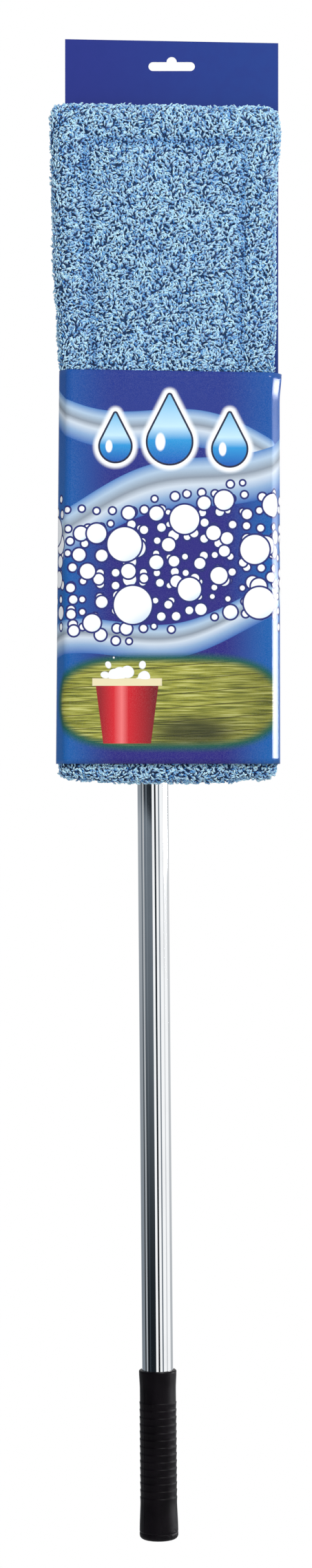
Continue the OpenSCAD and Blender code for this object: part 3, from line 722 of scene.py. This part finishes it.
def surface_spots(obj, area_of, rng):
    """Evenly scattered spots on the body's front and sides: places and normals.
    area_of(places) gives the square metres for one spot."""
    mesh = obj.data
    mesh.calc_loop_triangles()
    corners = np.zeros(3 * len(mesh.loop_triangles), int)
    mesh.loop_triangles.foreach_get("vertices", corners)
    corners = corners.reshape(-1, 3)
    points = get_points(obj)
    normals = np.zeros(points.size)
    mesh.vertices.foreach_get("normal", normals)
    normals = normals.reshape(-1, 3)
    a, b, c = (points[corners[:, k]] for k in range(3))
    cross = np.cross(b - a, c - a)
    area = np.linalg.norm(cross, axis=1) / 2
    facing = cross[:, 1] / np.maximum(2 * area, 1e-12)
    total = np.cumsum(np.where(facing < 0.35, area / area_of((a + b + c) / 3), 0))
    count = int(total[-1])
    pick = np.minimum(np.searchsorted(total, np.arange(count) + rng.random(count)), len(total) - 1)
    u, v = rng.random((2, count))
    flip = u + v > 1
    u[flip], v[flip] = 1 - u[flip], 1 - v[flip]
    weights = np.stack([1 - u - v, u, v], -1)[..., None]
    spots = (points[corners[pick]] * weights).sum(1)
    upward = (normals[corners[pick]] * weights).sum(1)
    return spots, upward / np.linalg.norm(upward, axis=1, keepdims=True)


def tufts(roots):
    """How far each root is into a tuft, from 0 in the gaps and on the sewn line to 1 in a tuft's middle."""
    x, _, z = roots.T
    height, left, right = PAD_EDGES.T
    inset = np.minimum.reduce([
        x - np.interp(z, height, left), np.interp(z, height, right) - x, pad_high.z - z, z - pad_low.z])
    free = 0.15 + 0.85 * ease(0, 4.5 * MM, np.abs(inset - SEAM_INSET))
    return free * ease(-0.35, 0.35, wander(roots, 600, 3) + 0.4 * wander(roots, 1300, 9))


def strand_points(roots, normals, pressed, tuft, rng):
    """Curled strands that rise from their roots and lie over, as an array of strand, ring, side and xyz.
    pressed is 1 where the sleeve flattens them, and tuft 1 where they are longest."""
    count = len(roots)
    heading = 0.9 + 2.6 * wander(roots, 130) + 1.4 * wander(roots, 26, 7) + rng.normal(0, 0.75, count)
    lie = np.stack([np.cos(heading), np.zeros(count), np.sin(heading)], -1)
    lie -= normals * (lie * normals).sum(1, keepdims=True)
    lie /= np.maximum(np.linalg.norm(lie, axis=1, keepdims=True), 1e-6)
    across = np.cross(normals, lie)
    length = rng.uniform(3.4, 5.0, count) * MM * (0.75 + 0.3 * tuft) * (1 - 0.2 * pressed)
    thick = rng.uniform(0.5, 0.7, count) * MM
    lean = rng.uniform(0.15, 0.7, count) + 0.75 * pressed
    bend = rng.uniform(1.2, 2.2, count) * (1 - 0.55 * pressed)
    curl = rng.normal(0, 0.5, count)
    taper = (0.75, 1.0, 1.05, 0.95, 0.5)
    points = np.zeros((count, STRAND_RINGS, STRAND_SIDES, 3))
    centre = roots - normals * 0.4 * MM
    for ring in range(STRAND_RINGS):
        share = ring / (STRAND_RINGS - 1)
        angle = (lean + bend * share)[:, None]
        rim = np.cos(angle) * lie - np.sin(angle) * normals
        for side in range(STRAND_SIDES):
            turn = 2 * math.pi * side / STRAND_SIDES
            spoke = math.cos(turn) * rim + math.sin(turn) * across
            points[:, ring, side] = centre + spoke * (thick * taper[ring])[:, None]
        along = np.sin(angle) * lie + np.cos(angle) * normals + (curl * share)[:, None] * across
        centre = centre + along * (length / STRAND_RINGS)[:, None]
    return points


def grow_pile(name, roots, normals, pressed, tuft, rng):
    """A band of strands as one piece, each with its own shade, mostly painted shade from the tufts, and
    with the share of the way to its tip.
    """
    count = len(roots)
    per_strand = STRAND_RINGS * STRAND_SIDES
    points = strand_points(roots, normals, pressed, tuft, rng).reshape(-1, 3)
    tube = grid_faces(STRAND_SIDES, STRAND_RINGS, wrap=True)
    tip = np.arange(per_strand - STRAND_SIDES, per_strand)[None]
    steps = np.arange(count)[:, None, None] * per_strand
    faces = np.concatenate([tube, tip])[None] + steps
    points = held_by_sleeve(points, 1.0 * MM, 1.5 * MM)
    made = add_mesh(name, points, faces.reshape(-1, 4), slots["microfibre"])
    shares = np.tile(np.repeat(np.linspace(0, 1, STRAND_RINGS), STRAND_SIDES), count)
    # Each strand's shade: mostly painted shade, darker in the gaps between tufts and on the sewn line, and
    # a little random.
    tones_and_shades = np.repeat(0.75 * tuft + 0.25 * rng.random(count), per_strand)
    for attribute, values in (("tip", shares), ("tone_and_shade", tones_and_shades)):
        stored = made.data.attributes.new(attribute, "FLOAT", "POINT")
        stored.data.foreach_set("value", values.astype(np.float32))
    bend_at_fold(made)


def mop_pad():
    """The pad's body and its pile, which is grown in bands so that no piece is too heavy."""
    body = pad_body()
    rng = np.random.default_rng(11)

    def pressed_at(places):
        z = places[:, 2]
        above_low = ease(sleeve_low.z - 1 * MM, sleeve_low.z + 6 * MM, z)
        return above_low * (1 - ease(sleeve_high.z - 5 * MM, sleeve_high.z + 1 * MM, z))

    def area_of(places):
        return (2.1 + 1.2 * pressed_at(places)) * MM * MM

    roots, normals = surface_spots(body, area_of, rng)
    tuft = tufts(roots)
    # Heights at which one band ends and the next starts, past the pad at both ends
    limits = [pad_high.z + 1, -0.095, -0.155, sleeve_high.z, -0.300, -0.390, sleeve_low.z, pad_low.z - 1]
    for index, (high, low) in enumerate(zip(limits, limits[1:])):
        band = (roots[:, 2] <= high) & (roots[:, 2] > low)
        pressed = pressed_at(roots[band])
        grow_pile(f"pile_band_{index}", roots[band], normals[band], pressed, tuft[band], rng)


# Backing and pockets


def stitches(name, rows, length, thick):
    """Raised stitches at rows of (place, direction, normal)."""
    points, faces = [], []
    rings = ((-0.5, 0.3, 0.0), (-0.3, 1.0, 0.7), (0.0, 1.1, 1.0), (0.3, 1.0, 0.7), (0.5, 0.3, 0.0))
    sides = 6
    for place, direction, normal in rows:
        direction, normal = Vector(direction).normalized(), Vector(normal).normalized()
        across = normal.cross(direction)
        faces += (grid_faces(sides, len(rings), wrap=True) + len(points)).tolist()
        for along, size, lift in rings:
            centre = Vector(place) + direction * along * length + normal * thick * 0.3 * lift
            for angle in np.linspace(0, 2 * math.pi, sides, endpoint=False):
                spoke = across * math.cos(angle) + normal * math.sin(angle)
                points.append(centre + spoke * thick / 2 * size)
    made = add_mesh(name, points, faces, thread)
    return made


def pad_backing():
    """The woven sheet behind the pad, slightly uneven, and the zigzag seam round its edge."""
    columns, rows = 36, 112
    half_x = (backing_high.x - backing_low.x) / 2
    half_z = (backing_high.z - backing_low.z) / 2
    middle_z = (backing_low.z + backing_high.z) / 2
    corner = 14 * MM
    level = backing_low.y + 0.5 * MM
    grid = np.meshgrid(np.linspace(-half_x, half_x, columns), np.linspace(-half_z, half_z, rows))
    x, z = round_corners(*grid, half_x, half_z, corner)
    points = np.stack([x + mop_x, np.full_like(x, level), z + middle_z], -1).reshape(-1, 3)
    points[:, 1] += wander(points, 60, 3) * 0.25 * MM
    made = add_mesh("backing_sheet", points, grid_faces(columns, rows)[:, ::-1], slots["backing_cloth"])
    add_wall(made, 0.6 * MM)
    bend_at_fold(made)
    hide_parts("pad_backing")

    inset, pitch = 4 * MM, 3.6 * MM
    height = level + 0.45 * MM
    seam = []
    for side in (-1, 1):
        for k, s in enumerate(np.arange(-half_z + corner, half_z - corner, pitch)):
            slant = 0.9 * (-1) ** k
            seam.append(((mop_x + side * (half_x - inset), height, middle_z + s), (slant, 0, 1), (0, 1, 0)))
        for k, s in enumerate(np.arange(-half_x + corner, half_x - corner, pitch)):
            slant = 0.9 * (-1) ** k
            seam.append(((mop_x + s, height, middle_z + side * (half_z - inset)), (1, 0, slant), (0, 1, 0)))
    bend_at_fold(stitches("backing_stitches", seam, 4.2 * MM, 0.7 * MM))


def pocket_seams(half, length, tip, end, floor, crest):
    """Stitches along the mouth's tape and the three sewn sides of a pocket."""
    pitch, corner = 3.4 * MM, 12 * MM
    low_seam = floor + 1.3 * MM
    mouth = tip - end * (length - 5.5 * MM)
    rows = [((mop_x + s, crest + 0.75 * MM, mouth), (1, 0, 0), (0, 1, 0))
            for s in np.arange(-half + 8 * MM, half - 8 * MM, pitch)]
    rows += [((mop_x + side * (half - 1.6 * MM), low_seam, tip - end * s), (0, 0, 1), (side * 0.6, 0.8, 0))
             for side in (-1, 1) for s in np.arange(corner, length - 3 * MM, pitch)]
    rows += [((mop_x + s, low_seam, tip - end * 1.6 * MM), (1, 0, 0), (0, 0.8, end * 0.6))
             for s in np.arange(-half + corner, half - corner, pitch)]
    return rows


def mouth_tape(name, x, y, mouth, end):
    """A folded tape over the mouth's edge, along points at x and y."""
    width = 7 * MM
    section = [(-width, 0.55 * MM), (-width / 2, 0.6 * MM), (-0.5 * MM, 0.6 * MM), (0.35 * MM, 0.3 * MM),
               (0.5 * MM, 0), (0.35 * MM, -0.3 * MM), (-0.5 * MM, -0.6 * MM), (-width / 2, -0.6 * MM)]
    points = [(a, b + lift, mouth - end * slide) for a, b in zip(x, y) for slide, lift in section]
    made = add_mesh(name, points, grid_faces(len(section), len(x)), white_tape)
    add_wall(made, 0.3 * MM)
    return made


def pocket(name, node, end, body):
    """A cloth pocket over the plate's end at +1 or -1: a panel sewn on three sides, with a taped mouth."""
    low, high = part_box(node)
    half = (high.x - low.x) / 2
    length = high.z - low.z
    tip = high.z if end > 0 else low.z
    floor = low.y
    crest = high.y - 0.45 * MM
    columns, rows, corner = 44, 34, 12 * MM
    u, inward = np.meshgrid(np.linspace(-1, 1, columns), np.linspace(0, length, rows))
    draw = corner - np.sqrt(np.maximum(corner ** 2 - np.maximum(corner - inward, 0) ** 2, 0))
    rise = ease(0, 6.5 * MM, np.minimum((1 - np.abs(u)) * half, inward))
    x = mop_x + u * (half - draw)
    y = floor + (crest - floor) * rise
    points = np.stack([x, y, tip - end * inward], -1).reshape(-1, 3)
    points[:, 1] += wander(points, 55, end) * 0.25 * MM * rise.ravel()
    panel = add_mesh(name, points, grid_faces(columns, rows)[:, ::end], slots["pocket_cloth"])
    add_wall(panel, 0.8 * MM)
    mouth_y = points[-columns:, 1]
    tape = mouth_tape(name + "_tape", x[-1], mouth_y, tip - end * length, end)
    seam_rows = pocket_seams(half, length, tip, end, floor, crest)
    seam = stitches(name + "_stitches", seam_rows, 2.4 * MM, 0.6 * MM)
    for piece in (panel, tape, seam):
        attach(piece, body)
    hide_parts(node)


# Pedal spring


def pedal_spring():
    """The leaf spring under the pedal: flat on its bar, raised over a knee and curled down at its tip."""
    low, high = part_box("pedal_spring")
    leaf, columns = 0.4 * MM, 9
    knee = low.z + 6 * MM
    tip = high.z - 1.2 * MM
    line = [(0, low.y, low.z), (0, low.y, knee), (0, high.y - leaf, tip), (0, high.y - 1.4 * MM, high.z)]
    _, y, z = rounded_path(line, 2.5 * MM, 0.8 * MM).T
    across = np.linspace(low.x, high.x, columns)
    waist = 1 - 0.18 * ease(knee, tip, z)[:, None]
    x = mop_x + (across - mop_x) * waist
    rows = len(z)
    y, z = (np.repeat(along[:, None], columns, 1) for along in (y + leaf / 2, z))
    points = np.stack([x, y, z], -1).reshape(-1, 3)
    made = add_mesh("spring_leaf", points, grid_faces(columns, rows), slots["steel"])
    add_wall(made, leaf)
    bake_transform(made)
    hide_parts("pedal_spring")


# Handle


def outer_tube():
    """The chromed tube with its rolled mouth."""
    low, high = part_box("outer_tube")
    start = handle_top.z - high.z
    end = handle_top.z - low.z
    outside, inside, roll = 11 * MM, 10.4 * MM, 0.3 * MM
    lip = [(inside + roll - roll * math.cos(a), start + roll - roll * math.sin(a))
           for a in np.linspace(0, math.pi, 7)]
    wall = [(outside, s) for s in np.linspace(start + 2 * MM, end, 24)]
    bore = [(inside, end), (inside, start + 3 * MM)]
    made = lathe("chrome_tube", lip + wall + bore, 192, slots["chrome"])
    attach(made, "outer")
    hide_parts("outer_tube")


def grip():
    """The rubber grip: a rolled mouth, stepped ribs, a mould seam down each side and a flared end."""
    low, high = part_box("grip")
    start = handle_top.z - high.z
    end = handle_top.z - low.z
    long = end - start
    waist, bore = 12.65 * MM, 11 * MM
    rib_start, pitch, ribs = 22 * MM, 5.1 * MM, 14
    mouth_r, foot_r = 1.1 * MM, 3 * MM

    def radius(s):
        lip = 0.5 * MM * (1 - ease(0, 14 * MM, s))
        flare = 0.9 * MM * ease(long - 34 * MM, long - 4 * MM, s)
        turn = (s - rib_start) / pitch
        step = turn - math.floor(turn)
        tooth = 0.42 * MM * (1 - step) ** 1.6 * ease(0, 0.12, step) if 0 <= turn < ribs else 0
        cap_line = 0.3 * MM * math.exp(-((s - long + 5 * MM) / (0.35 * MM)) ** 2)
        return waist + lip + flare + tooth - cap_line

    def seam(angle, down):
        s = down - start
        ridges = sum(np.exp(-((angle - math.radians(at)) / 0.03) ** 2) for at in (52, 232))
        return 0.16 * MM * ridges * ease(3 * MM, 8 * MM, s) * (1 - ease(long - 8 * MM, long - 3 * MM, s))

    mouth = [(radius(0) - mouth_r + mouth_r * math.sin(a), start + mouth_r - mouth_r * math.cos(a))
             for a in np.linspace(0, math.pi / 2, 6)]
    outside = [(radius(s), start + s)
               for s in np.linspace(mouth_r + 0.3 * MM, long - foot_r - 0.2 * MM, 360)]
    foot = [(radius(long) - foot_r + foot_r * math.cos(a), end - foot_r + foot_r * math.sin(a))
            for a in np.linspace(0.1, math.pi / 2, 7)]
    plug = end - 7 * MM
    profile = [(bore, start), *mouth, *outside, *foot, (0.2 * MM, end), (0.2 * MM, plug), (bore, plug)]
    made = lathe("grip_sleeve", profile, 224, slots["grip_rubber"], seam)
    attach(made, "outer")
    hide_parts("grip")


# Camera, stage and light


def camera():
    """The photograph's view: level, from in front of the carton, as tall as the hanging mop."""
    photo_height, focal = 2279, 4841.5
    lens = bpy.data.cameras.new("camera")
    lens.sensor_width = 36
    lens.lens = lens.sensor_width * focal / photo_height
    lens.clip_end = 50
    made = bpy.data.objects.new("camera", lens)
    made.location = (-0.0108, -2.3, -0.4953)
    made.rotation_euler = (math.pi / 2, 0, 0)
    scene.collection.objects.link(made)
    scene.camera = made


def floor_look():
    """Pale and slightly cloudy, with the object's shadow. Far out it fades into the white around."""
    look = surface("floor", {"Roughness": 0.8, "Emission Color": (1.0, 1.0, 1.0)})
    x, y, _ = look.place()
    cloud = look.noise(400, 3.0)
    camera_ray = look.add("ShaderNodeLightPath", {}, {}, "Is Camera Ray")
    look.put({
        "Base Color": look.mix(cloud, (0.78, 0.78, 0.79), (0.84, 0.84, 0.84)),
        "Emission Strength": camera_ray * (x.hypot(y).ease(900, 2900) * 0.7 + 0.05)})
    return look.owner


def floor():
    """A floor with softly rising borders, under everything that the handle can reach."""
    half, flat, level, rise, lines = 3, 2.2, -2.05, 0.25, 25
    side = np.linspace(-half, half, lines)
    x, y = np.meshgrid(side, side)
    z = level + rise * ease(flat, half, np.maximum(np.abs(x), np.abs(y)))
    points = np.stack([x, y, z], -1).reshape(-1, 3)
    add_mesh("floor", points, grid_faces(lines, lines), floor_look())


# Strips on the studio's walls: the middle and half width of each, then its grey just under the horizon,
# towards the floor and over the horizon. A place on the walls is named by the side of an upright tube
# that mirrors it to the camera, from -1 to 1.
WALL_STRIPS = (
    (-0.88, 0.1, 0.4, 0.24, 0.3), (-0.735, 0.045, 0.16, 0.02, 0.08), (-0.655, 0.035, 0.48, 0.36, 0.36),
    (-0.345, 0.265, 0.2, 0.015, 0.015), (-0.44, 0.02, 0.28, 0.06, 0.25),
    (0.115, 0.055, 0.03, 0.005, 0.01), (0.355, 0.04, 0.3, 0.14, 0.2),
    (0.62, 0.03, 0.75, 0.6, 0.65), (0.9, 0.07, 0.65, 0.5, 0.55))


def cool_grey(level):
    """A grey that is bluer the darker it is."""
    tint = 0.3 * (1 - level) ** 3
    return (level * (1 - tint), level, level * (1 + tint))


def studio_walls(look):
    """What glossy surfaces mirror: white walls with grey and dark strips, and a bright window on the
    right."""
    x, y, z = look.add("ShaderNodeTexCoord", {}, {}, "Generated").parts()
    side = (x.math("ARCTAN2", y * -1) * 0.5).sin()
    near_floor = z.ease(-0.01, -0.17)
    over_horizon = z.ease(-0.018, -0.01)
    blur = 0.015
    light = (1.0, 1.0, 1.0)
    for middle, half, under, low, over in WALL_STRIPS:
        strip = look.mix(near_floor, cool_grey(under), cool_grey(low))
        strip = look.mix(over_horizon, strip, cool_grey(over))
        light = look.mix(abs(side - middle).ease(half + blur, half - blur), light, strip)
    window = abs(side - 0.76).ease(0.13, 0.1) * abs(z - 0.03).ease(0.05, 0.03)
    return look.mix(window, light, (42.0, 42.0, 43.0))


def world():
    """White for the camera, even pale light on matt surfaces, and studio walls for metal to mirror."""
    look = Look(bpy.data.worlds.new("studio"), "Background", {})
    scene.world = look.owner
    camera_ray = look.add("ShaderNodeLightPath", {}, {}, "Is Camera Ray")
    glossy_ray = look.add("ShaderNodeLightPath", {}, {}, "Is Glossy Ray")
    light = look.mix(glossy_ray, (0.36, 0.37, 0.385), studio_walls(look))
    look.put({"Color": look.mix(camera_ray, light, (1.0, 1.0, 1.0))})


def lamp(name, place, aim, size, power, mirrored):
    """A soft square light, which the camera doesn't see. Glossy surfaces mirror it or don't."""
    light = bpy.data.lights.new(name, "AREA")
    light.size = size
    light.energy = power
    made = bpy.data.objects.new(name, light)
    made.location = place
    made.rotation_euler = (Vector(aim) - Vector(place)).to_track_quat("-Z", "Y").to_euler()
    made.visible_camera = False
    made.visible_glossy = mirrored
    scene.collection.objects.link(made)


carton_sleeve()
mop_pad()
pad_backing()
pocket("upper_pocket_cloth", "upper_pocket", 1, "wing")
pocket("lower_pocket_cloth", "lower_pocket", -1, "frame")
pedal_spring()
outer_tube()
grip()

camera()
floor()
world()
lamp("key", (1.2, -1.9, 1.0), aim=(0, 0, -0.45), size=0.8, power=48, mirrored=True)
lamp("fill", (-1.6, -1.7, -0.2), aim=(0, 0, -0.5), size=1.6, power=14, mirrored=False)
lamp("back", (0.9, 2.1, 0.5), aim=(0, 0, -0.4), size=1.2, power=46, mirrored=False)
scene.view_settings.view_transform = "Standard"
